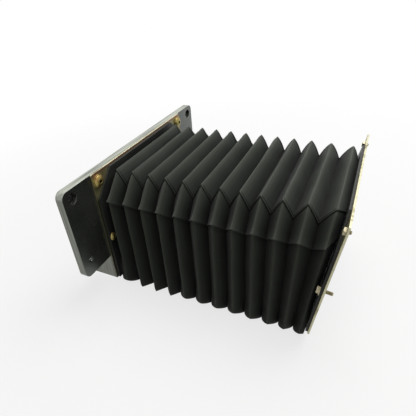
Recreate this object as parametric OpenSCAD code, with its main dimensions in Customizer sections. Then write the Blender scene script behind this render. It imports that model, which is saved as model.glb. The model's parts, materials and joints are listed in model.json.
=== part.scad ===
// Bellows way cover: a folded skin of inverted-U section on stiffening frames, open below so that
// it straddles a guide way. One end is screwed to a bracket with two ears, the other end is a
// loose flange whose screws stick out as studs, and which leans outwards as the last folds fan open.
// X runs along the travel from the bracket to the free end, Z is up, lower edges of the folds at Z = 0.

/* [Bellows] */
// Width over the ridges of the folds
bellows_w = 146; // [120:1:220]
// Height of the ridges above the lower edge
bellows_h = 120; // [90:1:180]
// Slanted top corner, measured along the top and along the side
corner_cut = 20; // [14:1:30]
// Distance from one ridge to the next
fold_pitch = 16.1; // [12:0.1:24]
// Height of a fold from ridge to valley along the top
fold_depth = 14; // [10:0.5:16]
// Depth of a fold from ridge to valley at the sides
side_depth = 10; // [8:0.5:12]
// How far inside the ridges the skin meets the end frames at the sides
end_inset = 17; // [15:0.5:20]
// How far below the ridges the skin meets the end frames along the top
end_drop = 7; // [5:0.5:15]
// Thickness of the coated fabric
skin_t = 1; // [0.6:0.1:1.4]
// Glue line between the skin and the end frames
glue_t = 0.3; // [0.2:0.05:0.5]
// Space between the fixed end frame and the first ridge
fixed_gap = 6; // [5:0.5:12]
// Space between the last ridge and the moving end frame
moving_gap = 5.5; // [5:0.5:12]

/* [Free end] */
// Lean of the free end flange, outwards at the top, in degrees
end_lean = 7.5; // [0:0.5:8]
// Number of folds that fan out to make up the lean
lean_folds = 3; // [2:1:5]
// Height of the line that the free end leans about
lean_pivot = 66; // [50:1:80]

/* [Fold frames] */
// Thickness of the stiffening frame in each fold
frame_t = 1; // [0.6:0.1:1.5]
// Width of the band that makes up the frame
frame_band = 7; // [4:0.5:7]
// Room on each side between frame and skin, along the travel
frame_clear = 0.4; // [0.3:0.05:0.6]

/* [End frames] */
// Thickness of the black end frames
end_frame_t = 2; // [1.5:0.1:3]
// How far the end frames stand out past the ridges
end_frame_rim = 2; // [0:0.5:3]

/* [Flanges] */
// Thickness of the flange sheet
flange_t = 1.5; // [1:0.1:3]
// How far the flange stands out past the ridges, at the sides and at the top
flange_rim = 4; // [3.5:0.5:8]
// Height of the fixed flange's lower edge above the lower edge of the folds
flange_foot = 9; // [4:0.5:20]
// Height of the moving flange's lower edge above the lower edge of the folds
moving_foot = 13; // [4:0.5:20]
// Radius of the flange's top corners
flange_r = 1.5; // [0.5:0.5:3]

/* [Bracket] */
// Thickness of the bracket's plate
plate_t = 7; // [5:0.5:12]
// How far each ear stands out past the flange
ear_reach = 33; // [26:0.5:60]
// Height of the ears
ear_h = 87; // [70:1:100]
// Radius of the ears' corners
ear_r = 6; // [2:0.5:9]
// Thickness of the cheeks behind the plate
cheek_t = 8; // [5:0.5:12]
// Depth of the cheeks behind the plate
cheek_depth = 23; // [12:1:60]
// How far the cheeks end below the top of the plate
cheek_drop = 19; // [12:1:40]

/* [Ear holes] */
// Distance of the ear holes from the ears' outer edges
ear_hole_in = 10; // [9:0.5:15]
// Distance of the upper ear holes from the top edge
ear_hole_drop = 8.5; // [7.5:0.5:20]
// Distance of the tapped ear holes from the ears' lower edge
ear_tap_rise = 15.5; // [8:0.5:30]
// Diameter of the upper ear holes
ear_hole_d = 5.5; // [4:0.1:7.5]
// Diameter of their counterbore
ear_bore_d = 9.5; // [8:0.5:16]
// Depth of their counterbore
ear_bore_depth = 3; // [1:0.5:4]
// Core diameter of the tapped ear holes
ear_tap_d = 5; // [4:0.1:8.5]

/* [Screws] */
// Distance of the screws from the flange's side edge
screw_in = 6.5; // [6:0.5:10]
// Distance of the corner screws from the flange's top edge
screw_drop = 8; // [7:0.5:10]
// Distance from the corner screws down to the side screws
screw_row = 58; // [40:1:80]
// Thread of the corner screws
corner_screw_d = 6; // [4:1:6]
// Thread of the side screws
side_screw_d = 5; // [3:1:5]
// Thread of the end screws
end_screw_d = 3; // [3:1:4]
// How deep the screws go into the bracket
screw_grip = 6; // [4:0.5:6.5]
// How far the upper end screws stick out past the moving flange
top_stud_out = 2; // [1:0.5:15]
// How far the lower end screws stick out past the moving flange
side_stud_out = 6; // [3:0.5:15]
// Room around a screw in a clearance hole, on the radius
screw_clear = 0.25; // [0.1:0.05:0.5]
// Room around a screw in its thread, on the radius
thread_clear = 0.05; // [0.02:0.01:0.1]
// How much thinner the plain shank of the end screws is than their thread, on the radius
shank_relief = 0.25; // [0.2:0.05:0.4]
// Outer diameter of the corner washers
corner_washer_d = 12; // [11:0.5:12.5]
// Thickness of the corner washers
corner_washer_t = 1.2; // [0.8:0.1:1.6]
// Outer diameter of the end washers
end_washer_d = 9; // [8:0.5:10]
// Thickness of the end washers
end_washer_t = 0.8; // [0.5:0.1:1]

/* [Hidden] */

$fn = 48;
fold_count = 12;
eps = 0.01;

// The fabric's thickness measured square to the travel, where the fold slopes
skin_r = skin_t * norm([fold_depth, fold_pitch / 2]) / (fold_pitch / 2);

// Inside of the skin at the end frames: the opening of every end piece
channel_inset = end_inset + skin_r;

// A fold frame's edge stays where even the steepest fold is still wide enough for it
steepest = max(fold_depth / (fold_pitch / 2), end_inset / fixed_gap, end_inset / moving_gap);
frame_inset = skin_r + (frame_t / 2 + frame_clear) * steepest;

// Sizes across the travel
flange_half = bellows_w / 2 + flange_rim;
flange_top = bellows_h + flange_rim;
ear_half = flange_half + ear_reach;
ear_foot = flange_top - ear_h;
screw_y = flange_half - screw_in;
screw_top_z = flange_top - screw_drop;
screw_side_z = screw_top_z - screw_row;
ear_hole_y = ear_half - ear_hole_in;

// Proportions of the screws, as multiples of the thread: button head's diameter, height, rim and socket,
// hexagon head's width across flats, height, flat top and the chamfer of the thread's tip
button_head = [1.75, 0.42, 0.12, 0.58];
hex_head = [1.83, 0.7, 1.73, 0.12];
stud_tip_r = end_screw_d * (1 / 2 - hex_head[3]);

// Places along the travel, counted from the front of the bracket
flange_face = flange_t;
skin_start = flange_face + end_frame_t;
first_ridge = skin_start + fixed_gap;
last_ridge = first_ridge + (fold_count - 1) * fold_pitch;
skin_end = last_ridge + moving_gap;
moving_face = skin_end + end_frame_t;
free_face = moving_face + flange_t;
back_x = -plate_t - cheek_depth;
lean_start = last_ridge - lean_folds * fold_pitch;
tip_x = max(leaned_x(free_face, flange_top), leaned_x(free_face + top_stud_out, screw_top_z + stud_tip_r),
            leaned_x(free_face + side_stud_out, screw_side_z + stud_tip_r));
centre_x = (back_x + tip_x) / 2;

// How far along the travel a point of the leaned free end lies
function leaned_x(x, z) = skin_end + (x - skin_end) * cos(end_lean) + (z - lean_pivot) * sin(end_lean);

// Half of the inverted U: foot, lower and upper end of the slanted corner
function ridge_half(foot) =
    [[bellows_w / 2, foot], [bellows_w / 2, bellows_h - corner_cut], [bellows_w / 2 - corner_cut, bellows_h]];

// The valleys: the top drops straight down, the corner and the side move in
function valley_half(foot) =
    let (ridge = ridge_half(foot))
    [ridge[0] - [side_depth, 0], ridge[1] - [side_depth, side_depth], ridge[2] - [0, fold_depth]];

// Where the skin meets an end frame: the slanted corner moves in by the mean of the side and the top
function end_half(foot) =
    let (side = bellows_w / 2 - end_inset, top = bellows_h - end_drop,
         slant = bellows_w / 2 + bellows_h - corner_cut - (end_inset + end_drop) / sqrt(2))
    [[side, foot], [side, slant - side], [slant - top, top]];

// Moves a half inwards by t, square to each of its three edges
function inset(half, t) =
    let (slant = half[2] - half[1], n = [-slant[1], slant[0]] / norm(slant))
    [half[0] - [t, 0], half[1] + t * [-1, (1 + n[0]) / n[1]], half[2] + t * [(1 + n[1]) / n[0], -1]];

// Whole outline, from one foot over the top to the other
function outline(half) =
    let (last = len(half) - 1)
    [for (p = half) [-p[0], p[1]], for (i = [last : -1 : 0]) half[i]];

function ridge_x(k) = first_ridge + k * fold_pitch;

// The lean grows with the square of the way along the fanned folds
function lean_at(x) = end_lean * pow(max(0, x - lean_start) / (skin_end - lean_start), 2);

// A point of the cross section at x, leaned with it
function leaned(x, p) =
    [x + (p[1] - lean_pivot) * sin(lean_at(x)), p[0], lean_pivot + (p[1] - lean_pivot) * cos(lean_at(x))];

// Ring of the skin at one station along the travel: outer edge, then inner edge back again
function skin_ring(x, half) =
    let (outer = outline(half), inner = outline(inset(half, skin_r)))
    [for (p = outer) leaned(x, p), for (i = [len(inner) - 1 : -1 : 0]) leaned(x, inner[i])];

// Stations of the skin: an end frame, then a ridge and a valley for every fold, and the other end frame
stations = [
    [skin_start + glue_t, end_half(flange_foot)],
    for (k = [0 : fold_count - 1]) each [
        [ridge_x(k), ridge_half(0)],
        k < fold_count - 1 ? [ridge_x(k) + fold_pitch / 2, valley_half(0)] : [skin_end - glue_t, end_half(moving_foot)]
    ]
];

// Leans what stands at x with the fold there
module leaning(x) {
    translate([x, 0, lean_pivot]) rotate([0, lean_at(x), 0]) translate([-x, 0, -lean_pivot]) children();
}

// Lays a flat outline across the travel, from x on, with the given thickness
module across(x, thickness) {
    translate([x, 0, 0]) rotate([90, 0, 90]) linear_extrude(thickness) children();
}

// Round bar along the travel
module bar(x, length, diameter) {
    translate([x, 0, 0]) rotate([0, 90, 0]) cylinder(d = diameter, h = length);
}

// Places children at the two corner screws or at the two side screws
module both_sides(z) {
    for (side = [-1, 1]) translate([0, side * screw_y, z]) children();
}

module at_all_screws() {
    both_sides(screw_top_z) children();
    both_sides(screw_side_z) children();
}

module channel_2d() {
    polygon(outline(inset(ridge_half(-eps), channel_inset)));
}

module rounded_plate_2d(half, foot, top, radius) {
    for (side = [-1, 1], z = [foot + radius, top - radius])
        translate([side * (half - radius), z]) circle(radius);
    translate([-half, foot + radius]) square([2 * half, top - foot - 2 * radius]);
    translate([radius - half, foot]) square([2 * (half - radius), top - foot]);
}

// Flat frame of a flange with its opening for the guide way
module flange_2d(foot) {
    difference() {
        union() {
            rounded_plate_2d(flange_half, foot, flange_top, flange_r);
            translate([-flange_half, foot]) square([2 * flange_half, flange_r]);
        }
        channel_2d();
    }
}

module end_frame_2d(foot) {
    difference() {
        polygon(outline(inset(ridge_half(foot), -end_frame_rim)));
        channel_2d();
    }
}

module fold_frame_2d() {
    difference() {
        polygon(outline(inset(ridge_half(0), frame_inset)));
        polygon(outline(inset(ridge_half(-eps), frame_inset + frame_band)));
    }
}

// Button head with a hexagon socket, seat at x = 0, shank towards -X
module button_screw(d, length) {
    head_r = button_head[0] * d / 2;
    head_h = button_head[1] * d;
    rim_h = button_head[2] * d;
    dome_h = head_h - rim_h;
    dome_r = (head_r * head_r + dome_h * dome_h) / (2 * dome_h);
    difference() {
        rotate([0, 90, 0]) rotate_extrude() {
            intersection() {
                translate([0, head_h - dome_r]) circle(dome_r);
                square([head_r, head_h]);
            }
            square([head_r, rim_h]);
            translate([0, -length]) square([d / 2, length + eps]);
        }
        translate([head_h / 3, 0, 0]) rotate([0, 90, 0])
            cylinder(d = button_head[3] * d, h = head_h, $fn = 6);
    }
}

// Hexagon head chamfered at 30 degrees, seat at x = 0, head towards -X, then a plain shank and a rolled
// thread towards +X
module hex_screw(d, shank, thread) {
    head_h = hex_head[1] * d;
    flats_to_corners = 2 / sqrt(3);
    top_d = hex_head[2] * d;
    tip = hex_head[3] * d;
    translate([-head_h, 0, 0]) rotate([0, 90, 0]) intersection() {
        cylinder(d = hex_head[0] * d * flats_to_corners, h = head_h, $fn = 6);
        cylinder(d1 = top_d, d2 = top_d + 2 * head_h / tan(30), h = head_h);
    }
    bar(-eps, shank + 2 * eps, d - 2 * shank_relief);
    bar(shank, thread - tip, d);
    translate([shank + thread - tip, 0, 0]) rotate([0, 90, 0])
        cylinder(d1 = d, d2 = d - 2 * tip, h = tip);
}

module washer(outer_d, inner_d, thickness) {
    difference() {
        bar(0, thickness, outer_d);
        bar(-eps, thickness + 2 * eps, inner_d);
    }
}

module bracket_2d() {
    difference() {
        union() {
            rounded_plate_2d(ear_half, ear_foot, flange_top, ear_r);
            translate([-flange_half, flange_foot]) square([2 * flange_half, ear_foot - flange_foot + ear_r]);
        }
        channel_2d();
    }
}

module mounting_bracket() color("#8f938d") {
    difference() {
        union() {
            across(-plate_t, plate_t) bracket_2d();
            for (side = [-1, 1])
                translate([back_x, side * (flange_half - cheek_t / 2) - cheek_t / 2, flange_foot])
                    cube([cheek_depth + eps, cheek_t, flange_top - cheek_drop - flange_foot]);
        }
        both_sides(screw_top_z) bar(-screw_grip, screw_grip + eps, corner_screw_d + 2 * thread_clear);
        both_sides(screw_side_z) bar(-screw_grip, screw_grip + eps, side_screw_d + 2 * thread_clear);
        for (side = [-1, 1]) {
            translate([0, side * ear_hole_y, flange_top - ear_hole_drop]) {
                bar(-plate_t - eps, plate_t + 2 * eps, ear_hole_d);
                bar(-ear_bore_depth, ear_bore_depth + eps, ear_bore_d);
            }
            translate([0, side * ear_hole_y, ear_foot + ear_tap_rise])
                bar(-plate_t - eps, plate_t + 2 * eps, ear_tap_d);
        }
    }
}

module fixed_flange() color("#b9ae74") {
    difference() {
        across(0, flange_t) flange_2d(flange_foot);
        both_sides(screw_top_z) bar(-eps, flange_t + 2 * eps, corner_screw_d + 2 * screw_clear);
        both_sides(screw_side_z) bar(-eps, flange_t + 2 * eps, side_screw_d + 2 * screw_clear);
    }
}

module fixed_end_frame() color("#1b1c1b") {
    difference() {
        across(flange_face, end_frame_t) end_frame_2d(flange_foot);
        both_sides(screw_side_z)
            bar(flange_face - eps, end_frame_t + 2 * eps, side_screw_d + 2 * screw_clear);
    }
}

module corner_washers() color("#b8963f") {
    both_sides(screw_top_z) translate([flange_face, 0, 0])
        washer(corner_washer_d, corner_screw_d + 2 * screw_clear, corner_washer_t);
}

module corner_screws() color("#b8963f") {
    seat = flange_face + corner_washer_t;
    both_sides(screw_top_z) translate([seat, 0, 0])
        button_screw(corner_screw_d, seat + screw_grip - thread_clear);
}

module side_screws() color("#b8963f") {
    both_sides(screw_side_z) translate([skin_start, 0, 0])
        button_screw(side_screw_d, skin_start + screw_grip - thread_clear);
}

// The skin's rings are joined by triangles that lie alike on both sides and on both faces of the fabric
module bellows() color("#2b2d2b") {
    last = len(stations) - 1;
    ring = len(skin_ring(0, ridge_half(0)));
    face = ring / 2;
    points = [for (s = stations) each skin_ring(s[0], s[1])];
    walls = [for (i = [0 : last - 1], j = [0 : ring - 1])
        let (a = i * ring + j, b = i * ring + (j + 1) % ring)
        each j % face < face / 2
            ? [[a, b, b + ring], [a, b + ring, a + ring]]
            : [[a, b, a + ring], [b, b + ring, a + ring]]];
    caps = [for (j = [0 : face - 2]) each [
        [j, ring - 1 - j, ring - 2 - j, j + 1],
        [last * ring + j, last * ring + j + 1, last * ring + ring - 2 - j, last * ring + ring - 1 - j]]];
    polyhedron(points, concat(walls, caps));
}

module fold_frame(k) color("#3a3c3e") {
    leaning(ridge_x(k)) across(ridge_x(k) - frame_t / 2, frame_t) fold_frame_2d();
}

module moving_end_frame() color("#1b1c1b") {
    difference() {
        across(skin_end, end_frame_t) end_frame_2d(moving_foot);
        both_sides(screw_side_z)
            bar(skin_end - eps, end_frame_t + 2 * eps, end_screw_d + 2 * screw_clear);
    }
}

module moving_flange() color("#d8d3ae") {
    difference() {
        across(moving_face, flange_t) flange_2d(moving_foot);
        at_all_screws() bar(moving_face - eps, flange_t + 2 * eps, end_screw_d + 2 * thread_clear);
    }
}

module end_washers() color("#c9ccc8") {
    both_sides(screw_side_z) translate([skin_end - end_washer_t, 0, 0])
        washer(end_washer_d, end_screw_d + 2 * screw_clear, end_washer_t);
}

// The upper screws seat on the flange beside the cut corner of the end frame, the lower ones on their washers
module end_screws() color("#c9ccc8") {
    both_sides(screw_top_z) translate([moving_face, 0, 0])
        hex_screw(end_screw_d, free_face - moving_face, top_stud_out);
    both_sides(screw_side_z) translate([skin_end - end_washer_t, 0, 0])
        hex_screw(end_screw_d, free_face - skin_end + end_washer_t, side_stud_out);
}

// Brings the middle of the whole cover over the origin
module centred() {
    translate([-centre_x, 0, 0]) children();
}

centred() mounting_bracket();
centred() fixed_flange();
centred() fixed_end_frame();
centred() corner_screws();
centred() corner_washers();
centred() side_screws();
centred() bellows();
centred() fold_frame(0);  // fold_frame_01
centred() fold_frame(1);  // fold_frame_02
centred() fold_frame(2);  // fold_frame_03
centred() fold_frame(3);  // fold_frame_04
centred() fold_frame(4);  // fold_frame_05
centred() fold_frame(5);  // fold_frame_06
centred() fold_frame(6);  // fold_frame_07
centred() fold_frame(7);  // fold_frame_08
centred() fold_frame(8);  // fold_frame_09
centred() fold_frame(9);  // fold_frame_10
centred() fold_frame(10);  // fold_frame_11
centred() fold_frame(11);  // fold_frame_12
centred() leaning(skin_end) moving_end_frame();
centred() leaning(skin_end) moving_flange();
centred() leaning(skin_end) end_screws();
centred() leaning(skin_end) end_washers();
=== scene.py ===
import json
import math

import bpy
import numpy as np
from mathutils import Matrix, Vector

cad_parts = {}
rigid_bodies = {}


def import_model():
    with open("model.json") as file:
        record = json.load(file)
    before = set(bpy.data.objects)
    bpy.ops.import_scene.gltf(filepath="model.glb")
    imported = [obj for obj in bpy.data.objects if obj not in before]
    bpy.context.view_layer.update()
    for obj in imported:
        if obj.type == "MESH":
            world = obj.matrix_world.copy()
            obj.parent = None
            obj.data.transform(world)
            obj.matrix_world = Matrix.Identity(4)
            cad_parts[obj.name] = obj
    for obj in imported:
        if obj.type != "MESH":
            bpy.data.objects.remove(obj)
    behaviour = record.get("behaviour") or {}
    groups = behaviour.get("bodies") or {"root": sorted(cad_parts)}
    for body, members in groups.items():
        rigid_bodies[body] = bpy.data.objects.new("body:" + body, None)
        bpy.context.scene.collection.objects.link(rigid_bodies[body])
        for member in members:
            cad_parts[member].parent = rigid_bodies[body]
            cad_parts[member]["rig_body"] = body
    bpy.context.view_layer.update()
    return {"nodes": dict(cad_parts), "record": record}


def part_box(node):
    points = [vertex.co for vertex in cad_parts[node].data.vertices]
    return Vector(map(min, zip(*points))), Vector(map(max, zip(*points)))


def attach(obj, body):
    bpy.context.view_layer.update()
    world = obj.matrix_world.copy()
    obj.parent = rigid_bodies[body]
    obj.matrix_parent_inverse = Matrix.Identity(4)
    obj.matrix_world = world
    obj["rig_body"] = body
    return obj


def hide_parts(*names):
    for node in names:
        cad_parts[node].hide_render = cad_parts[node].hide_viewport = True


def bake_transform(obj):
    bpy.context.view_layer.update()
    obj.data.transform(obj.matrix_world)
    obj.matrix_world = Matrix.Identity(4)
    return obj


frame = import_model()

mm = 0.001
nodes = frame["nodes"]
record = frame["record"]
mounts = {m["name"]: m for m in record["mounts"]}
scene = bpy.context.scene
scene.view_settings.view_transform = "Standard"


# Small helpers

def linear(hexColour):  # sRGB hex to the linear colour that the shaders take
    parts = [int(hexColour[i:i + 2], 16) / 255 for i in (1, 3, 5)]
    return [c / 12.92 if c <= 0.04045 else ((c + 0.055) / 1.055) ** 2.4 for c in parts] + [1]


def addNode(tree, kind, settings=None, links=None):  # one shader node, its settings and incoming links
    node = tree.nodes.new(kind)
    for name, value in (settings or {}).items():
        if name == "stops":  # a colour ramp's (position, hex) pairs
            elements = node.color_ramp.elements
            while len(elements) < len(value):
                elements.new(0.5)
            for element, (position, hexColour) in zip(elements, value):
                element.position = position
                element.color = linear(hexColour)
        elif isinstance(name, str) and hasattr(node, name):
            setattr(node, name, value)
        else:
            node.inputs[name].default_value = value
    for name, source in (links or {}).items():
        tree.links.new(source, node.inputs[name])
    return node.outputs


def newMaterial(name, settings):
    material = bpy.data.materials.new(name)
    material.use_nodes = True
    tree = material.node_tree
    shader = tree.nodes["Principled BSDF"]
    for socket, value in settings.items():
        shader.inputs[socket].default_value = value
    return material, tree, shader


def feed(tree, shader, sources):  # links finished colours, roughness and bump to the shader
    for socket, source in sources.items():
        tree.links.new(source, shader.inputs[socket])


def paint(piece, material):
    piece.data.materials.clear()
    piece.data.materials.append(material)
    return piece


# Camera, as the photograph was taken

cameraSettings = {
    "place": (113.92, -270.68, 261.62),  # mm
    "forward": (-0.3645, 0.7448, -0.5589),
    "up": (-0.1878, 0.5291, 0.8275),
    "lens": 31.155,  # mm
    "sensor": 36,  # mm
    "nearest": 0.01,  # m
}


def placeCamera(s):
    data = bpy.data.cameras.new("photoCamera")
    data.lens = s["lens"]
    data.sensor_width = s["sensor"]
    data.clip_start = s["nearest"]
    camera = bpy.data.objects.new("photoCamera", data)
    scene.collection.objects.link(camera)
    forward = Vector(s["forward"]).normalized()
    right = forward.cross(Vector(s["up"])).normalized()
    up = right.cross(forward)
    pose = Matrix((right, up, -forward)).transposed().to_4x4()
    pose.translation = Vector(s["place"]) * mm
    camera.matrix_world = pose
    scene.camera = camera


placeCamera(cameraSettings)
print("camera placed")


# Studio: white backdrop, pale floor, soft light from above and behind

studio = {
    "ambient": 0.055,  # light from the backdrop
    "floorSize": 8.0,  # m
    "floorGlow": (0.75, 1.0),  # share of plain white near the object, where the shadow shows, and far away
    "glowReach": (0.20, 0.55),  # m from the middle
    "lamps": [  # name, place m, size m, watts
        ("softboxAbove", (0.22, 0.42, 1.25), 1.1, 17),
        ("fillLeft", (-0.9, -0.7, 0.8), 0.9, 0.2),
        ("fillFront", (0.9, -0.9, 0.5), 0.8, 1.5),
    ],
    "aim": (0, 0, 0.06),  # m, what the lamps point at
}


def seenByEye(tree):  # 1 for camera, glossy and transmission rays, so metal shows the white backdrop too
    path = addNode(tree, "ShaderNodeLightPath")
    direct = addNode(tree, "ShaderNodeMath", {"operation": "MAXIMUM"},
                     {0: path["Is Camera Ray"], 1: path["Is Glossy Ray"]})
    return addNode(tree, "ShaderNodeMath", {"operation": "MAXIMUM"},
                   {0: direct[0], 1: path["Is Transmission Ray"]})[0]


def makeStudio(s):
    world = bpy.data.worlds.new("studioWorld")
    scene.world = world
    world.use_nodes = True
    tree = world.node_tree
    tree.nodes.clear()
    level = addNode(tree, "ShaderNodeMapRange", {"To Min": s["ambient"], "To Max": 1.0},
                    {"Value": seenByEye(tree)})
    back = addNode(tree, "ShaderNodeBackground", {"Color": (1, 1, 1, 1)}, {"Strength": level["Result"]})
    addNode(tree, "ShaderNodeOutputWorld", None, {"Surface": back["Background"]})

    half = s["floorSize"] / 2
    mesh = bpy.data.meshes.new("studioFloor")
    corners = [(-half, -half, 0), (half, -half, 0), (half, half, 0), (-half, half, 0)]
    mesh.from_pydata(corners, [], [(0, 1, 2, 3)])
    floor = bpy.data.objects.new("studioFloor", mesh)
    scene.collection.objects.link(floor)
    # emulsion-painted floor board, rolled: matt off-white that takes a soft shadow
    material, tree, shader = newMaterial("paintedStudioFloor", {
        "Base Color": linear("#f4f4f2"), "Roughness": 0.9})
    dull = addNode(tree, "ShaderNodeBsdfDiffuse", {"Color": linear("#6c6c6a")})  # thrown back up at the piece
    glow = addNode(tree, "ShaderNodeEmission", {"Color": (1, 1, 1, 1), "Strength": 1.0})
    place = addNode(tree, "ShaderNodeTexCoord")
    away = addNode(tree, "ShaderNodeVectorMath", {"operation": "LENGTH"}, {0: place["Object"]})
    share = addNode(tree, "ShaderNodeMapRange", {
        "From Min": s["glowReach"][0], "From Max": s["glowReach"][1],
        "To Min": s["floorGlow"][0], "To Max": s["floorGlow"][1]}, {"Value": away["Value"]})
    shown = addNode(tree, "ShaderNodeMixShader", None,
                    {0: share["Result"], 1: shader.outputs["BSDF"], 2: glow["Emission"]})
    both = addNode(tree, "ShaderNodeMixShader", None,
                   {0: seenByEye(tree), 1: dull["BSDF"], 2: shown["Shader"]})
    tree.links.new(both["Shader"], tree.nodes["Material Output"].inputs["Surface"])
    paint(floor, material)

    for name, place, size, watts in s["lamps"]:
        data = bpy.data.lights.new(name, "AREA")
        data.size = size
        data.energy = watts
        lamp = bpy.data.objects.new(name, data)
        scene.collection.objects.link(lamp)
        lamp.location = place
        lamp.rotation_euler = (Vector(s["aim"]) - Vector(place)).to_track_quat("-Z", "Y").to_euler()


makeStudio(studio)
print("studio lit")


# Bellows cloth

cloth = {
    "width": 146, "height": 120, "cut": 20,  # over the ridges, mm
    "topDepth": 14, "sideDepth": 10,  # ridge to valley, mm
    "endInset": 17, "endDrop": 7, "endFoot": 0.5, "glue": 0.04,  # where the cloth meets the end frames, mm
    "endFlare": 15.5, "flareFrom": 46, "flareTo": 22,  # below the screws it spreads out on the frames, mm
    "endRound": 4,  # its lower corners there, mm
    "pitch": 16.1, "fixedGap": 6, "movingGap": 5.5, "folds": 12,  # mm, and the number of ridges
    "lean": 7.5, "leanPivot": 66, "leanFolds": 3,  # degrees at the free end, mm, folds that fan open
    "thickness": 0.7,  # mm
    # each strip overlaps the one below, at the lower and at the upper crease, mm
    "lip": (1.4, 1.0), "edge": (1.9, 1.5), "tuck": (2.5, 1.5), "tuckReach": (5.5, 4.5),
    "lipSpread": 0.35,  # how unevenly the strips were laid
    "footRounds": [3.5, 1.2, 1, 1.2, 3, 3.2, 3.4, 3.5, 3.5, 3.5, 3.5, 3.5],  # the ridges' lower corners, mm
    "footSoft": [1, 0, 0, 0.1, 0.8, 0.9, 1, 1, 1, 1, 1, 1],  # how far the ridges open to a round at the foot
    "footReach": 20, "footPower": 2.4,  # mm, and the power of that round, where 2 is an ellipse
    "footShare": {"ridge": 0.5, "valley": 1, "end": 1},  # less on the panel ahead of a ridge than behind it
    "ridgeRound": 0.03, "valleyRound": 0.03, "bow": 0.10, "farBow": 0.55,  # shape of a panel, ridge to valley
    "farEnd": 0.47, "farEase": 0.06,  # share of the girth from the far foot that has farBow, and its soft end
    "eave": 1.1, "eaveReach": 5,  # the slanted strips lift off at their lower edge, mm
    "columns": {"side": 26, "cut": 9, "top": 15},  # mesh points along each strip
    "profile": 2001,  # points that a panel's shape is summed up from
    "waver": 0.25, "bulge": 0.35,  # unevenness of ridges and panels, mm
    "waverCycles": 3, "bulgeCycles": 4, "waves": 3, "waveStrength": (0.4, 1),  # its waves along the girth
    "ridgeHold": 1.7,  # on both sides of a ridge, the span that takes that fold's own share of the travel, mm
    "sharp": 50,  # degrees, from which a crease is drawn sharp
    "seed": 7,
}
panelSteps = [0, 0.012, 0.03, 0.06, 0.11, 0.2, 0.32, 0.46, 0.6, 0.73, 0.84, 0.92, 0.97, 1]  # ridge to valley


def eased(t):  # 0 to 1 with a soft start and end
    t = np.clip(t, 0, 1)
    return t * t * (3 - 2 * t)


def halfCorners(c, kind):  # foot, lower and upper end of the slanted corner, as (y, z) in mm
    y, z, cut = c["width"] / 2, c["height"], c["cut"]
    if kind == "ridge":
        return np.array([(y, 0), (y, z - cut), (y - cut, z)], float)
    if kind == "valley":
        d = c["sideDepth"]
        return np.array([(y - d, 0), (y - d, z - cut - d), (y - cut, z - c["topDepth"])], float)
    slant = y + z - cut - (c["endInset"] + c["endDrop"]) / math.sqrt(2)
    y, z = y - c["endInset"], z - c["endDrop"]
    return np.array([(y, c["endFoot"]), (y, slant - y), (slant - z, z)], float)


def halfSection(c, kind, footRound, lipShare):  # half a section, foot to middle; share 0 is the inner face
    foot, low, high = halfCorners(c, kind)
    n = c["columns"]
    slant = (high - low) / np.linalg.norm(high - low)
    inward = np.array((-slant[1], slant[0]))
    strips = [  # start, end, count, direction inwards, how far it reaches past its start
        (foot, low, n["side"], np.array((-1.0, 0)), 0),
        (low, high, n["cut"], inward, lipShare * c["lip"][0]),
        (high, np.array((0, high[1])), n["top"], np.array((0, -1.0)), lipShare * c["lip"][1]),
    ]
    points = []
    for i, (start, end, count, down, reach) in enumerate(strips):
        along = (end - start) / np.linalg.norm(end - start)
        start = start - along * reach
        if i > 0:  # the cut edge of this strip, which lies over the strip below
            lifted = c["edge"][i - 1] - (c["eave"] if i == 1 else 0)
            points.append(start + down * lifted if lipShare else (points[-1] + start) / 2)
        for t in np.linspace(0, 1, count):
            p = start + (end - start) * t
            if i < 2:  # tucked in under the next strip
                near = np.clip(1 - np.linalg.norm(end - p) / c["tuckReach"][i], 0, 1)
                p = p + down * c["tuck"][i] * near ** 2
            if i == 1 and lipShare:
                p = p - down * c["eave"] * np.clip(1 - np.linalg.norm(p - start) / c["eaveReach"], 0, 1) ** 2
            if i == 0 and kind == "end":
                p[0] += c["endFlare"] * eased((c["flareFrom"] - p[1]) / (c["flareFrom"] - c["flareTo"]))
            rise = p[1] - foot[1]
            if i == 0 and rise < footRound:
                p[0] -= footRound - math.sqrt(footRound ** 2 - (footRound - rise) ** 2)
            points.append(p)
    return np.array(points)


def wholeSection(c, kind, footRound, lipShare):
    half = halfSection(c, kind, footRound, lipShare)
    return np.concatenate([half, half[-2::-1] * np.array((-1, 1))])


def panelShape(c, bow):  # depth from ridge (0) to valley (1), rounded at both, steeper towards the valley
    t = np.linspace(0, 1, c["profile"])
    slope = np.tanh(t / c["ridgeRound"]) * np.tanh((1 - t) / c["valleyRound"]) * (1 + bow * (2 * t - 1))
    depth = np.concatenate([[0], np.cumsum((slope[1:] + slope[:-1]) / 2)])
    return np.interp(panelSteps, t, depth / depth[-1])


def softWaves(c, rng, along, cycles):  # smooth random curve along the section, about -1 to 1
    total = np.zeros_like(along)
    for i in range(c["waves"]):
        strength = rng.uniform(*c["waveStrength"])
        total += strength * np.sin(2 * math.pi * (cycles * (i + 1) * along + rng.uniform()))
    return total / c["waves"]


def leaned(c, x, points, angle):  # a cross section at x, leaned outwards at the top
    up = points[:, 1] - c["leanPivot"]
    return np.stack([x + up * math.sin(angle), points[:, 0], c["leanPivot"] + up * math.cos(angle)], axis=1)


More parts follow.
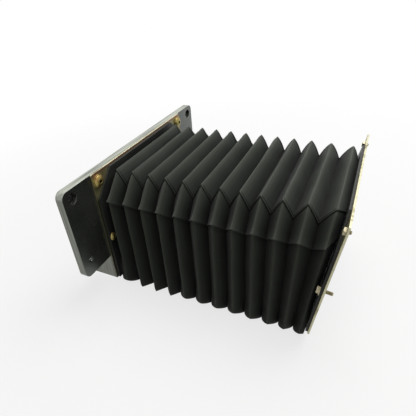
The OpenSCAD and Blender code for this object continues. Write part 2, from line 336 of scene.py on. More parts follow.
def makeCloth(c):
    rng = np.random.default_rng(c["seed"])
    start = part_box("fixed_end_frame")[1].x / mm
    ridges = start + c["fixedGap"] + c["pitch"] * np.arange(c["folds"])
    end = ridges[-1] + c["movingGap"]
    leanStart = ridges[-1] - c["leanFolds"] * c["pitch"]
    couplings = {k["joint"]: k["ratio"] for k in record["behaviour"]["couplings"]}
    shares = [couplings["fold_%02d_slide" % (k + 1)] for k in range(c["folds"])]

    # turning lines along the travel: end, ridge, valley, ridge ... end
    lines = [(start + c["glue"], "end", c["endRound"])]
    for k, x in enumerate(ridges):
        lines.append((x, "ridge", c["footRounds"][k]))
        last = k == c["folds"] - 1
        lines.append((end - c["glue"], "end", c["endRound"]) if last else (x + c["pitch"] / 2, "valley", 0))
    lips = 1 + c["lipSpread"] * rng.uniform(-1, 1, len(lines))
    faces = [[wholeSection(c, kind, foot, lip) for (_, kind, foot), lip in zip(lines, lips)],
             [wholeSection(c, kind, foot, 0) for _, kind, foot in lines]]
    steps = np.linalg.norm(np.diff(faces[1][1], axis=0), axis=1)
    around = np.concatenate([[0], np.cumsum(steps)])
    turn = around / around[-1]
    farSide = eased((c["farEnd"] - turn) / c["farEase"])[:, None]  # where the panels arch more
    near, far = panelShape(c, c["bow"]), panelShape(c, c["farBow"])
    footCurve = 1 - (1 - np.array(panelSteps) ** c["footPower"]) ** (1 / c["footPower"])
    wavers = [softWaves(c, rng, turn, c["waverCycles"]) * (kind != "end") * c["waver"]
              for _, kind, _ in lines]

    rows = []  # station, nearness to a ridge, length along the cloth, outer points, inner points
    for i in range(len(lines) - 1):
        (xa, kind, _), (xb, _, _) = lines[i], lines[i + 1]
        bulge = softWaves(c, rng, turn, c["bulgeCycles"]) * c["bulge"]
        ridge = i if kind == "ridge" else i + 1
        opened = eased(1 - faces[0][ridge][:, 1:] / c["footReach"])
        opened = opened * c["footSoft"][ridge // 2] * c["footShare"][kind]
        order = range(len(panelSteps)) if kind == "ridge" else range(len(panelSteps) - 1, -1, -1)
        for k in order if i == len(lines) - 2 else order[:-1]:
            folded = near[k] + (far[k] - near[k]) * farSide
            depth = folded + (footCurve[k] - folded) * opened
            s = panelSteps[k] if kind == "ridge" else 1 - panelSteps[k]
            depth = depth if kind == "ridge" else 1 - depth
            station = xa + (xb - xa) * s
            lean = math.radians(c["lean"]) * (max(0, station - leanStart) / (end - leanStart)) ** 2
            x = station + wavers[i] * (1 - s) + wavers[i + 1] * s + bulge * math.sin(math.pi * s)
            layers = [leaned(c, x, face[i] + (face[i + 1] - face[i]) * depth, lean) for face in faces]
            rows.append((station, 1 - panelSteps[k], i + s, *layers))
    stations = np.array([r[0] for r in rows])
    outer = np.array([r[3] for r in rows])
    inner = np.array([r[4] for r in rows])
    rowCount, colCount = outer.shape[:2]

    # the inner face lies one cloth's thickness inside, along the surface's own direction
    normal = np.cross(np.gradient(inner, axis=1), np.gradient(inner, axis=0))
    normal /= np.linalg.norm(normal, axis=2, keepdims=True)
    upward = np.sign(normal[rowCount // 2, colCount // 2, 2])  # on the top the outer side faces up
    inner -= normal * c["thickness"] * upward
    inner[:, [0, -1], 2] = outer[:, [0, -1], 2]

    points = np.concatenate([outer.reshape(-1, 3), inner.reshape(-1, 3)]) * mm
    grid = np.arange(rowCount * colCount).reshape(rowCount, colCount)
    under = grid + rowCount * colCount
    quads = []
    for g, flip in ((grid, False), (under, True)):
        layer = np.stack([g[:-1, :-1], g[:-1, 1:], g[1:, 1:], g[1:, :-1]], axis=2).reshape(-1, 4)
        quads.extend((layer[:, ::-1] if flip else layer).tolist())
    rim = np.concatenate([grid[0, :], grid[1:, -1], grid[-1, -2::-1], grid[-2:0:-1, 0]])
    rimUnder = rim + rowCount * colCount
    quads.extend(np.stack([np.roll(rim, -1), rim, rimUnder, np.roll(rimUnder, -1)], axis=1).tolist())

    mesh = bpy.data.meshes.new("bellowsCloth")
    mesh.from_pydata(points.tolist(), [], quads)
    mesh.validate()
    piece = bpy.data.objects.new("bellowsCloth", mesh)
    scene.collection.objects.link(piece)

    # each fold's own share of the travel, eased back by the inverse of a 0 to 1 ease, is set in the points
    # for a moment, then the shape is set back
    held = [start] + [x + side * c["ridgeHold"] for x in ridges for side in (-1, 1)] + [end]
    share = np.interp(stations, held, [0] + list(np.repeat(shares, 2)) + [1])
    uneased = 0.5 - np.sin(np.arcsin(1 - 2 * share) / 3)
    flat = np.zeros((len(points), 3))
    flat[:, 0] = np.tile(np.repeat(uneased, colCount), 2)
    mesh.vertices.foreach_set("co", flat.ravel())
    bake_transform(piece)
    mesh.vertices.foreach_set("co", points.ravel())
    mesh.update()

    # ridge nearness, for the painted shade and highlight and the crest line, and lengths on the flat cloth
    # for its weave
    nearRidge = mesh.attributes.new("ridgeRub", "FLOAT", "POINT")
    nearRidge.data.foreach_set("value", np.tile(np.repeat([r[1] for r in rows], colCount), 2).astype(np.float32))
    layer = mesh.uv_layers.new(name="flatCloth")
    panel = math.hypot(c["topDepth"], c["pitch"] / 2)
    flatU = np.tile(np.tile(around, rowCount), 2) * mm
    flatV = np.tile(np.repeat([r[2] * panel for r in rows], colCount), 2) * mm
    corner = np.zeros(len(mesh.loops), int)
    mesh.loops.foreach_get("vertex_index", corner)
    layer.data.foreach_set("uv", np.stack([flatU[corner], flatV[corner]], axis=1).astype(np.float32).ravel())
    mesh.polygons.foreach_set("use_smooth", [True] * len(mesh.polygons))
    mesh.set_sharp_from_angle(angle=math.radians(c["sharp"]))
    size = (around[-1] * mm, panel * (len(lines) - 1) * mm)
    print("cloth", len(mesh.polygons), "faces, cut", size)
    return piece, size


clothPiece, clothSize = makeCloth(cloth)
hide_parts("bellows")
foldFrames = ["fold_frame_%02d" % (k + 1) for k in range(cloth["folds"])]


def coatedCloth():
    # polyurethane-coated polyester cloth, calendered: matt charcoal, streaked along its weft; painted shade
    # darkens the valleys, painted highlight lightens the ridges, and a thin crest line is part wear, part
    # painted highlight
    s = {"thread": 1.6, "mottle": 35, "grain": 1.1,  # mm; the real thread is near 0.4, too fine to show here
         "streak": 1.8, "streakLength": 45,  # mm
         "streakShare": 0.2, "crestLinePower": 22.0}  # streaks in the tone, and how close to the ridge the crest line lies, part wear and part painted highlight
    material, tree, shader = newMaterial("calenderedCoatedCloth", {
        "IOR": 1.5, "Specular IOR Level": 0.1, "Sheen Weight": 0.04, "Sheen Roughness": 0.5})
    place = addNode(tree, "ShaderNodeTexCoord")
    nearRidge = addNode(tree, "ShaderNodeAttribute", {"attribute_name": "ridgeRub"})
    mottle = addNode(tree, "ShaderNodeTexNoise", {"Scale": 1000 / s["mottle"], "Detail": 3.0},
                     {"Vector": place["Object"]})
    drawn = addNode(tree, "ShaderNodeMapping", {"Scale": (1000 / s["streakLength"], 1000 / s["streak"], 1)},
                    {"Vector": place["UV"]})
    streak = addNode(tree, "ShaderNodeTexNoise", {"Scale": 1.0, "Detail": 2.0}, {"Vector": drawn["Vector"]})
    shade = addNode(tree, "ShaderNodeMath", {"operation": "MULTIPLY_ADD", 1: s["streakShare"]},
                    {0: streak["Fac"], 2: nearRidge["Fac"]})
    tones = [(0.1, "#161816"), (0.55, "#292c28"), (0.85, "#3d403a"), (1.0, "#4e524b")]  # valley to ridge: painted shade in the valleys, painted highlight towards the ridges
    paintedShadeAndHighlight = addNode(tree, "ShaderNodeValToRGB", {"stops": tones}, {"Fac": shade[0]})
    dusty = addNode(tree, "ShaderNodeMapRange", {
        "From Min": 0.3, "From Max": 0.7, "To Min": 0.0, "To Max": 0.14}, {"Value": mottle["Fac"]})
    tone = addNode(tree, "ShaderNodeMix", {"data_type": "RGBA", 7: linear("#545950")},
                   {0: dusty["Result"], 6: paintedShadeAndHighlight["Color"]})
    # thin paler crest line on the ridges, part wear and part painted highlight, and glossier there
    ridge = addNode(tree, "ShaderNodeMath", {"operation": "POWER", 1: s["crestLinePower"]}, {0: nearRidge["Fac"]})
    crestWearAndHighlight = addNode(tree, "ShaderNodeMath", {"operation": "MULTIPLY"}, {0: ridge[0], 1: streak["Fac"]})
    colour = addNode(tree, "ShaderNodeMix", {"data_type": "RGBA", 7: linear("#62665d")},
                     {0: crestWearAndHighlight[0], 6: tone[2]})
    rough = addNode(tree, "ShaderNodeMapRange", {"To Min": 0.66, "To Max": 0.46}, {"Value": crestWearAndHighlight[0]})
    weaveScale = 2 * math.pi / 20 * 1000 / s["thread"]  # a wave texture repeats every 2 pi / 20 of its scale
    waves = [addNode(tree, "ShaderNodeTexWave", {"bands_direction": way, "Scale": weaveScale},
                     {"Vector": place["UV"]}) for way in ("X", "Y")]
    weave = addNode(tree, "ShaderNodeMath", {"operation": "MULTIPLY"},
                    {0: waves[0]["Fac"], 1: waves[1]["Fac"]})
    grain = addNode(tree, "ShaderNodeTexNoise", {"Scale": 1000 / s["grain"], "Detail": 2.0},
                    {"Vector": place["Object"]})
    height = addNode(tree, "ShaderNodeMath", {"operation": "ADD"}, {0: weave[0], 1: grain["Fac"]})
    bump = addNode(tree, "ShaderNodeBump", {"Strength": 0.25, "Distance": 0.15 * mm}, {"Height": height[0]})
    feed(tree, shader, {"Base Color": colour[2], "Roughness": rough["Result"], "Normal": bump["Normal"]})
    return material


paint(clothPiece, coatedCloth())
print("cloth painted")


# Metal and sheet finishes

def groundPlate():
    # aluminium plate with a ground and polished face and sawn, brushed edges: a dark mirror with pale lined
    # edges, darker on the upright edges as painted shade, and drilled holes painted dark as painted shade
    s = {"line": 1.3, "uprightLine": 0.7, "lineLength": 40,  # mm; real brushing is near 0.1, too fine to show
         "stain": 30, "bore": 9.5, "tap": 5, "boreShadeEdge": (0.1, -0.2)}  # mm; the painted shade fades at a hole's rim
    material, tree, shader = newMaterial("groundAluminiumPlate", {})
    place = addNode(tree, "ShaderNodeTexCoord")
    facing = addNode(tree, "ShaderNodeNewGeometry")
    apart = addNode(tree, "ShaderNodeSeparateXYZ", None, {0: facing["Normal"]})
    square = addNode(tree, "ShaderNodeMath", {"operation": "ABSOLUTE"}, {0: apart["X"]})
    face = addNode(tree, "ShaderNodeMapRange", {"From Min": 0.75, "From Max": 0.95}, {"Value": square[0]})
    upright = addNode(tree, "ShaderNodeMath", {"operation": "ABSOLUTE"}, {0: apart["Z"]})
    fine, coarse, long = 1000 / s["uprightLine"], 1000 / s["line"], 1000 / s["lineLength"]
    lines = []
    for scale in ((fine, fine, long), (coarse, long, coarse)):  # upright edges, then the top and lower edges
        stretched = addNode(tree, "ShaderNodeMapping", {"Scale": scale}, {"Vector": place["Object"]})
        lines.append(addNode(tree, "ShaderNodeTexNoise", {"Scale": 1.0, "Detail": 3.0},
                             {"Vector": stretched["Vector"]}))
    brushed = addNode(tree, "ShaderNodeMix", None, {0: upright[0], 2: lines[0]["Fac"], 3: lines[1]["Fac"]})
    stain = addNode(tree, "ShaderNodeTexNoise", {"Scale": 1000 / s["stain"], "Detail": 4.0},
                    {"Vector": place["Object"]})
    levelTone = addNode(tree, "ShaderNodeValToRGB", {"stops": [(0.3, "#7d8179"), (0.7, "#c0c3b7")]},
                        {"Fac": brushed[0]})
    # upright edges painted darker than the top and lower edges: painted shade
    uprightShadeTone = addNode(tree, "ShaderNodeValToRGB", {"stops": [(0.3, "#565952"), (0.7, "#878a80")]},
                          {"Fac": brushed[0]})
    edgeTone = addNode(tree, "ShaderNodeMix", {"data_type": "RGBA"},
                       {0: upright[0], 6: uprightShadeTone["Color"], 7: levelTone["Color"]})
    faceTone = addNode(tree, "ShaderNodeValToRGB", {"stops": [(0.3, "#585c57"), (0.7, "#696d67")]},
                       {"Fac": stain["Fac"]})
    tone = addNode(tree, "ShaderNodeMix", {"data_type": "RGBA"},
                   {0: face["Result"], 6: edgeTone[2], 7: faceTone["Color"]})
    where = addNode(tree, "ShaderNodeSeparateXYZ", None, {0: place["Object"]})
    out = addNode(tree, "ShaderNodeMath", {"operation": "ABSOLUTE"}, {0: where["Y"]})
    across = addNode(tree, "ShaderNodeCombineXYZ", None, {"Y": out[0], "Z": where["Z"]})
    bores = []
    for mount, radius in (("ear_bolts", s["bore"] / 2), ("ear_taps", s["tap"] / 2)):
        m = mounts[mount]
        middle = (0, m["dims"]["spacing_x_mm"] / 2 * mm, m["pos_m"][2])
        off = addNode(tree, "ShaderNodeVectorMath", {"operation": "DISTANCE", 1: middle},
                      {0: across["Vector"]})
        shadeOut, shadeIn = [(radius + edge) * mm for edge in s["boreShadeEdge"]]
        bores.append(addNode(tree, "ShaderNodeMapRange", {"From Min": shadeOut, "From Max": shadeIn},
                             {"Value": off["Value"]}))
    boreShade = addNode(tree, "ShaderNodeMath", {"operation": "MAXIMUM"},
                    {0: bores[0]["Result"], 1: bores[1]["Result"]})
    # painted shade in the holes
    colour = addNode(tree, "ShaderNodeMix", {"data_type": "RGBA", 7: linear("#191a19")},
                     {0: boreShade[0], 6: tone[2]})
    bare = addNode(tree, "ShaderNodeMapRange", {"To Min": 1.0, "To Max": 0.72}, {"Value": face["Result"]})
    edgeRough = addNode(tree, "ShaderNodeMapRange", {"To Min": 0.30, "To Max": 0.52}, {"Value": brushed[0]})
    faceRough = addNode(tree, "ShaderNodeMapRange", {"To Min": 0.20, "To Max": 0.34}, {"Value": stain["Fac"]})
    rough = addNode(tree, "ShaderNodeMix", None,
                    {0: face["Result"], 2: edgeRough["Result"], 3: faceRough["Result"]})
    depth = addNode(tree, "ShaderNodeMapRange", {"To Min": 0.25, "To Max": 0.02}, {"Value": face["Result"]})
    bump = addNode(tree, "ShaderNodeBump", {"Distance": 0.08 * mm},
                   {"Strength": depth["Result"], "Height": brushed[0]})
    feed(tree, shader, {"Base Color": colour[2], "Metallic": bare["Result"], "Roughness": rough[0],
                        "Normal": bump["Normal"]})
    return material


def tappedMetal():
    # aluminium cut by a tap: flanks painted near black as painted shade in the hole, with a few bright spots
    # that glint
    s = {"glintSpots": 0.6}  # mm
    material, tree, shader = newMaterial("tappedAluminium", {"Metallic": 1.0, "Roughness": 0.28})
    place = addNode(tree, "ShaderNodeTexCoord")
    glintSpots = addNode(tree, "ShaderNodeTexNoise", {"Scale": 1000 / s["glintSpots"], "Detail": 2.0},
                   {"Vector": place["Object"]})
    # painted shade on the flanks, bright metal spots for glints
    tone = addNode(tree, "ShaderNodeValToRGB", {"stops": [(0.54, "#121312"), (0.7, "#b5b8b0")]},
                   {"Fac": glintSpots["Fac"]})
    feed(tree, shader, {"Base Color": tone["Color"]})
    return material


def passivatedZinc(name, tones, cutEdge, roughness, metallic, rim=0.0, sideDarkening=0.0):
    # zinc plate in a yellow chromate dip: straw to olive, rosy where the dip ran to the rim, paler along
    # cut edges, upright edges darker as painted shade, and the strip beside the end frame drawn nearly black
    s = {"cloud": 14, "spangle": 1.2, "half": 75.3, "top": 121.6, "run": 0.6,  # mm
         "frameSide": (74.8, 75.2), "frameTop": (104, 98),  # where that strip begins, mm
         "toneFrom": 0.32, "toneSpan": 0.36}  # part of the clouds' range that the tones share
    material, tree, shader = newMaterial(name, {"Metallic": metallic})
    place = addNode(tree, "ShaderNodeTexCoord")
    cloud = addNode(tree, "ShaderNodeTexNoise", {
        "Scale": 1000 / s["cloud"], "Detail": 3.0, "Distortion": 0.6}, {"Vector": place["Object"]})
    spangle = addNode(tree, "ShaderNodeTexNoise", {"Scale": 1000 / s["spangle"], "Detail": 2.0},
                      {"Vector": place["Object"]})
    stops = [(s["toneFrom"] + s["toneSpan"] * i / (len(tones) - 1), tone) for i, tone in enumerate(tones)]
    dipped = addNode(tree, "ShaderNodeValToRGB", {"stops": stops}, {"Fac": cloud["Fac"]})
    facing = addNode(tree, "ShaderNodeNewGeometry")
    apart = addNode(tree, "ShaderNodeSeparateXYZ", None, {0: facing["Normal"]})
    square = addNode(tree, "ShaderNodeMath", {"operation": "ABSOLUTE"}, {0: apart["X"]})
    edge = addNode(tree, "ShaderNodeMapRange", {"From Min": 0.9, "From Max": 0.6}, {"Value": square[0]})
    where = addNode(tree, "ShaderNodeSeparateXYZ", None, {0: place["Object"]})
    out = addNode(tree, "ShaderNodeMath", {"operation": "ABSOLUTE"}, {0: where["Y"]})
    runs = []
    for reach, start, strength in ((out[0], s["half"], rim * (1 - sideDarkening)), (where["Z"], s["top"], rim)):
        runs.append(addNode(tree, "ShaderNodeMapRange", {
            "From Min": start * mm, "From Max": (start + s["run"]) * mm, "To Max": strength},
            {"Value": reach}))
    ran = addNode(tree, "ShaderNodeMath", {"operation": "MAXIMUM"},
                  {0: runs[0]["Result"], 1: runs[1]["Result"]})
    rosy = addNode(tree, "ShaderNodeMix", {"data_type": "RGBA", 7: linear("#8a6654")},
                   {0: ran[0], 6: dipped["Color"]})
    beside = addNode(tree, "ShaderNodeMapRange", {
        "From Min": s["frameSide"][0] * mm, "From Max": s["frameSide"][1] * mm, "To Max": sideDarkening},
        {"Value": out[0]})
    below = addNode(tree, "ShaderNodeMapRange", {
        "From Min": s["frameTop"][0] * mm, "From Max": s["frameTop"][1] * mm}, {"Value": where["Z"]})
    strip = addNode(tree, "ShaderNodeMath", {"operation": "MULTIPLY"},
                    {0: beside["Result"], 1: below["Result"]})
    # the strip beside the end frame, drawn nearly black
    faced = addNode(tree, "ShaderNodeMix", {"data_type": "RGBA", 7: linear("#2b2a20")},
                    {0: strip[0], 6: rosy[2]})
    cut = addNode(tree, "ShaderNodeValToRGB", {"stops": [(0.33, tones[0]), (0.44, cutEdge)]},
                  {"Fac": cloud["Fac"]})
    # upright edges darkened: painted shade
    level = addNode(tree, "ShaderNodeMath", {"operation": "ABSOLUTE"}, {0: apart["Z"]})
    dull = addNode(tree, "ShaderNodeMath", {"operation": "MULTIPLY_ADD", 1: -sideDarkening, 2: sideDarkening},
                   {0: level[0]})
    edged = addNode(tree, "ShaderNodeMix", {"data_type": "RGBA", 7: linear("#3a3624")},
                    {0: dull[0], 6: cut["Color"]})
    plated = addNode(tree, "ShaderNodeMix", {"data_type": "RGBA"},
                     {0: edge["Result"], 6: faced[2], 7: edged[2]})
    socket = addNode(tree, "ShaderNodeAttribute", {"attribute_name": "socketShade"})
    colour = addNode(tree, "ShaderNodeMix", {"data_type": "RGBA", 7: linear("#17150e")},
                     {0: socket["Fac"], 6: plated[2]})
    rough = addNode(tree, "ShaderNodeMapRange", {"To Min": roughness - 0.08, "To Max": roughness + 0.08},
                    {"Value": spangle["Fac"]})
    bump = addNode(tree, "ShaderNodeBump", {"Strength": 0.12, "Distance": 0.05 * mm},
                   {"Height": spangle["Fac"]})
    feed(tree, shader, {"Base Color": colour[2], "Roughness": rough["Result"], "Normal": bump["Normal"]})
    return material


def stampedSheet(name, tone, cutEdge, roughness):
    # hard PVC sheet, stamped to shape: black or grey satin face with a fine grain, paler cut edge
    s = {"grain": 0.8, "scuff": 22}  # mm
    material, tree, shader = newMaterial(name, {"IOR": 1.53, "Specular IOR Level": 0.2})
    place = addNode(tree, "ShaderNodeTexCoord")
    grain = addNode(tree, "ShaderNodeTexNoise", {"Scale": 1000 / s["grain"], "Detail": 2.0},
                    {"Vector": place["Object"]})
    scuff = addNode(tree, "ShaderNodeTexNoise", {"Scale": 1000 / s["scuff"], "Detail": 5.0},
                    {"Vector": place["Object"]})
    facing = addNode(tree, "ShaderNodeNewGeometry")
    apart = addNode(tree, "ShaderNodeSeparateXYZ", None, {0: facing["Normal"]})
    square = addNode(tree, "ShaderNodeMath", {"operation": "ABSOLUTE"}, {0: apart["X"]})
    edge = addNode(tree, "ShaderNodeMapRange", {"From Min": 0.9, "From Max": 0.6}, {"Value": square[0]})
    face = addNode(tree, "ShaderNodeValToRGB", {"stops": [(0.35, tone[0]), (0.7, tone[1])]},
                   {"Fac": scuff["Fac"]})
    colour = addNode(tree, "ShaderNodeMix", {"data_type": "RGBA", 7: linear(cutEdge)},
                     {0: edge["Result"], 6: face["Color"]})
    rough = addNode(tree, "ShaderNodeMapRange", {"To Min": roughness - 0.1, "To Max": roughness + 0.1},
                    {"Value": scuff["Fac"]})
    bump = addNode(tree, "ShaderNodeBump", {"Strength": 0.2, "Distance": 0.06 * mm}, {"Height": grain["Fac"]})
    feed(tree, shader, {"Base Color": colour[2], "Roughness": rough["Result"], "Normal": bump["Normal"]})
    return material


plate = groundPlate()
sheetTones = ["#8c8059", "#918b63", "#8c8e68", "#9a946d"]
goldTones = ["#98784a", "#a18c50", "#959056", "#ae9a5e"]
paleTones = ["#85725f", "#988c72", "#9d9c7e", "#b8b197"]
fixedZinc = passivatedZinc("yellowPassivatedSheet", sheetTones, "#d6d2ae", 0.42, 0.5, rim=0.9, sideDarkening=0.9)
freeZinc = passivatedZinc("yellowPassivatedEndSheet", sheetTones, "#d6d2ae", 0.42, 0.5, rim=0.9)
goldZinc = passivatedZinc("yellowPassivatedScrews", goldTones, "#a8945a", 0.36, 0.75)
paleZinc = passivatedZinc("palePassivatedScrews", paleTones, "#aaa186", 0.34, 0.85)
endSheet = stampedSheet("stampedBlackSheet", ("#292b29", "#343633"), "#434541", 0.45)
frameSheet = stampedSheet("stampedGreySheet", ("#303234", "#3b3d3f"), "#4c4e50", 0.5)
print("finishes made")


# Turned and threaded pieces: rings round an axis, each a distance along it and a radius for each angle, mm

ringCount = 72
ringAngles = 2 * math.pi * np.arange(ringCount) / ringCount
ringSharp = 32  # degrees, from which an edge is drawn sharp
threadForm = {"rings": 10, "steep": 1.25, "rootFlat": 0.1}  # rings in a pitch, flats at crest and root


def hexagon(flats):  # radii of a hexagon of this width across flats
    sector = math.pi / 3
    return flats / 2 / np.cos((ringAngles + sector / 2) % sector - sector / 2)


def threadRings(start, end, pitch, crest, root):  # rings of a V thread, with a ramp at both ends
    rings = []
    for x in np.arange(start, end + 1e-6, pitch / threadForm["rings"]):
        wave = np.abs(((x / pitch - ringAngles / (2 * math.pi)) % 1) * 2 - 1)
        fade = min(1, (x - start) / pitch, (end - x) / pitch)
        flank = np.clip(wave * threadForm["steep"] - threadForm["rootFlat"], 0, 1)
        rings.append((x, root + (crest - root) * flank * fade))
    return rings


def turned(name, rings, places, axis=(1, 0, 0), loop=False, socketFrom=None):
    ahead = np.array(axis, float)
    side = np.array((0, 1.0, 0))
    up = np.cross(ahead, side)
    points, quads = [], []
    for place in places:
        base = len(points)
        for along, radii in rings:
            radii = np.broadcast_to(radii, ringAngles.shape)
            ring = np.outer(np.broadcast_to(along, ringAngles.shape), ahead)
            ring = ring + np.outer(radii * np.cos(ringAngles), side)
            ring = ring + np.outer(radii * np.sin(ringAngles), up)
            points.extend((np.array(place) + ring * mm).tolist())
        for i in range(len(rings) if loop else len(rings) - 1):
            a, b = base + i * ringCount, base + (i + 1) % len(rings) * ringCount
            for j in range(ringCount):
                k = (j + 1) % ringCount
                quads.append((a + j, a + k, b + k, b + j))
        if not loop:
            quads.append(tuple(range(base + ringCount - 1, base - 1, -1)))
            quads.append(tuple(range(len(points) - ringCount, len(points))))
    mesh = bpy.data.meshes.new(name)
    mesh.from_pydata(points, [], quads)
    mesh.validate()
    mesh.polygons.foreach_set("use_smooth", [True] * len(mesh.polygons))
    mesh.set_sharp_from_angle(angle=math.radians(ringSharp))
    if socketFrom is not None:  # the rings from here on are the inside of a socket
        inside = np.arange(len(points)) // ringCount % len(rings) >= socketFrom
        shade = mesh.attributes.new("socketShade", "FLOAT", "POINT")
        shade.data.foreach_set("value", inside.astype(np.float32))
    piece = bpy.data.objects.new(name, mesh)
    scene.collection.objects.link(piece)
    return piece


def standsFor(piece, node, material):
    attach(piece, nodes[node]["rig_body"])
    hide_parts(node)
    paint(piece, material)


# Button head screws of the fixed end
buttonScrews = {
    "corner_screws": {"piece": "cornerScrews", "seatOn": "corner_washers", "thread": 6, "socket": 3},
    "side_screws": {"piece": "sideScrews", "seatOn": "fixed_end_frame", "thread": 5, "socket": 2.5},
}
buttonHead = {
    "radius": 0.875, "height": 0.42, "rim": 0.12, "floor": 0.14,  # shares of the thread's diameter
    "tip": 0.3, "tipLength": 0.1,  # the thread's end, shares of its diameter
    "seatBreak": (0.12, 0.25), "rimBreak": 0.1, "mouthBreak": 0.22, "mouthDepth": (0.35, 0.4),  # mm
    "drillDepth": 0.5, "drillTip": 0.05,  # cone in the socket's floor, mm
    "domeFrom": 0.03, "domeRings": 12,
}


def makeButtonScrews(node, s, h):
    low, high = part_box(node)
    d = s["thread"]
    headR, headH, rim, floor = [h[size] * d for size in ("radius", "height", "rim", "floor")]
    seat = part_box(s["seatOn"])[1].x
    length = (seat - low.x) / mm
    middle = high.y - headR * mm
    domeR = (headR ** 2 + (headH - rim) ** 2) / (2 * (headH - rim))
    mouth = hexagon(s["socket"])
    lift, inset = h["seatBreak"]
    rings = [(-length, h["tip"] * d), (-length + h["tipLength"] * d, d / 2), (0, d / 2),
             (0, headR - inset), (lift, headR), (rim - h["rimBreak"], headR)]
    for t in np.linspace(h["domeFrom"], 1, h["domeRings"]):
        radii = headR * (1 - t) + (mouth + h["mouthBreak"]) * t
        rings.append((headH - domeR + np.sqrt(domeR ** 2 - radii ** 2), radii))
    rings += [(headH - depth, mouth) for depth in h["mouthDepth"]]
    rings += [(floor, mouth), (floor - h["drillDepth"], h["drillTip"])]
    height = (low.z + high.z) / 2
    places = [(seat, side * middle, height) for side in (-1, 1)]
    return turned(s["piece"], rings, places, socketFrom=len(rings) - 3)


for node, settings in buttonScrews.items():
    standsFor(makeButtonScrews(node, settings, buttonHead), node, goldZinc)


# Hexagon screws of the free end, whose threads stick out of the flange
endScrew = {
    "thread": 3, "pitch": 0.5, "flats": 5.5, "head": 2.1, "chamfer": 0.35, "shank": 2.5,  # mm
    "dishDepth": 0.25, "dishTip": 0.05, "dish": (0.30, 0.36),  # mm, and shares of the flats
    "chamferFrom": 0.94, "chamferRings": 6,  # share of half the flats
    "threadDepth": 0.61,  # share of the pitch
    "runIn": 0.05, "runOut": 0.25, "tipBreak": (0.1, 0.4), "tip": 0.3,  # mm, the last a share of the thread
    "washerWidth": 9, "washerHole": 3.5,  # mm
}
endStuds = {  # sheet held, thread out, washer, mm
    "end_studs_top": (1.5, 2, 0),
    "end_studs_side": (3.5, 6, 0.8),
}
washerBreak = 0.18  # broken edges, mm


def washerRings(start, thickness, width, hole):  # punched washer, its edges broken
    r, h, e = width / 2, hole / 2, washerBreak
    end = start + thickness
    return [(start, h + e), (start, r - e), (start + e, r), (end - e, r),
            (end, r - e), (end, h + e), (end - e, h), (start + e, h)]


def endScrewRings(s, seat, tip):  # from the head to the tip, with the middle of the thread at 0
    d = s["thread"]
    top = seat - s["head"]
    face = -tip
    corners = hexagon(s["flats"])
    dished = top + s["dishDepth"]
    rings = [(dished, s["dishTip"]), (dished, s["dish"][0] * s["flats"]), (top, s["dish"][1] * s["flats"])]
    narrow = s["flats"] / 2 * s["chamferFrom"]
    for t in np.linspace(0, 1, s["chamferRings"]):
        cone = narrow + t * (corners.max() - narrow)
        rings.append((top + s["chamfer"] * t, np.minimum(corners, cone)))
    rings += [(seat, corners), (seat, s["shank"] / 2), (face, s["shank"] / 2)]
    root = d / 2 - s["threadDepth"] * s["pitch"]
    rings += threadRings(face + s["runIn"], tip - s["runOut"], s["pitch"], d / 2, root)
    back, inset = s["tipBreak"]
    return rings + [(tip - back, d / 2 - inset), (tip, s["tip"] * d)]


def makeEndScrews(s):
    screws = []
    for mount, (depth, stud, thickness) in endStuds.items():
        m = mounts[mount]
        half = m["dims"]["pcd_mm"] / 2 * mm
        places = [(m["pos_m"][0], m["pos_m"][1] + side * half, m["pos_m"][2]) for side in (-1, 1)]
        seat = -stud / 2 - depth - thickness
        screws.append(turned("endScrews", endScrewRings(s, seat, stud / 2), places, m["axis"]))
        if thickness:
            rings = washerRings(seat, thickness, s["washerWidth"], s["washerHole"])
            washers = turned("endWashers", rings, places, m["axis"], loop=True)
    with bpy.context.temp_override(active_object=screws[0], selected_editable_objects=screws):
        bpy.ops.object.join()
    return screws[0], washers


endScrews, endWashers = makeEndScrews(endScrew)
standsFor(endScrews, "end_screws", paleZinc)
standsFor(endWashers, "end_washers", paleZinc)

# Washers under the corner screws
cornerWasher = {"width": 12, "hole": 6.5}  # mm


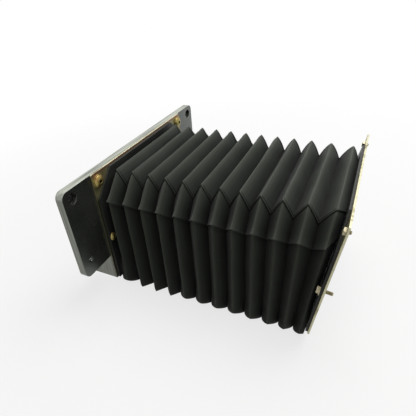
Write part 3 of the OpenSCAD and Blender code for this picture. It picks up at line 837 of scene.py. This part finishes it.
def makeCornerWashers(s):
    low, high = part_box("corner_washers")
    middle = high.y - s["width"] / 2 * mm
    places = [(low.x, side * middle, (low.z + high.z) / 2) for side in (-1, 1)]
    rings = washerRings(0, (high.x - low.x) / mm, s["width"], s["hole"])
    return turned("cornerWashers", rings, places, loop=True)


standsFor(makeCornerWashers(cornerWasher), "corner_washers", goldZinc)

# Threads cut in the lower ear holes
earThread = {"crest": 2.05, "root": 2.47, "buried": 2.7, "pitch": 1.0, "plate": 7, "margin": 0.5}  # mm


def makeEarThreads(s):
    m = mounts["ear_taps"]
    half = m["dims"]["spacing_x_mm"] / 2 * mm
    places = [(m["pos_m"][0], side * half, m["pos_m"][2]) for side in (-1, 1)]
    reach = s["plate"] / 2 - s["margin"]
    inside = threadRings(-reach, reach, s["pitch"], s["crest"], s["root"])
    rings = inside[::-1] + [(-reach, s["buried"]), (reach, s["buried"])]
    piece = turned("earThreads", rings, places, loop=True)
    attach(piece, "fixed_end")
    return paint(piece, tappedMetal())


makeEarThreads(earThread)
print("screws, washers and threads turned")


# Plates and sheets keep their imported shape, with broken edges

sheets = {  # finish and edge break in mm
    "mounting_bracket": (plate, 0.45),
    "fixed_flange": (fixedZinc, 0.2),
    "moving_flange": (freeZinc, 0.2),
    "fixed_end_frame": (endSheet, 0.3),
    "moving_end_frame": (endSheet, 0.3),
}
sheets.update({name: (frameSheet, 0.15) for name in foldFrames})
edgeBreak = {"weld": 0.002, "flat": 1, "corner": 40, "segments": 2}  # mm, degrees, degrees


def breakEdges(piece, width, s):
    weld = piece.modifiers.new("weld", "WELD")
    weld.merge_threshold = s["weld"] * mm
    merge = piece.modifiers.new("mergeFlats", "DECIMATE")
    merge.decimate_type = "DISSOLVE"
    merge.angle_limit = math.radians(s["flat"])
    bevel = piece.modifiers.new("breakEdges", "BEVEL")
    bevel.width = width * mm
    bevel.segments = s["segments"]
    bevel.limit_method = "ANGLE"
    bevel.angle_limit = math.radians(s["corner"])
    normals = piece.modifiers.new("evenNormals", "WEIGHTED_NORMAL")
    normals.weight = 100


for name, (finish, width) in sheets.items():
    breakEdges(nodes[name], width, edgeBreak)
    paint(nodes[name], finish)
print("plates and sheets finished")
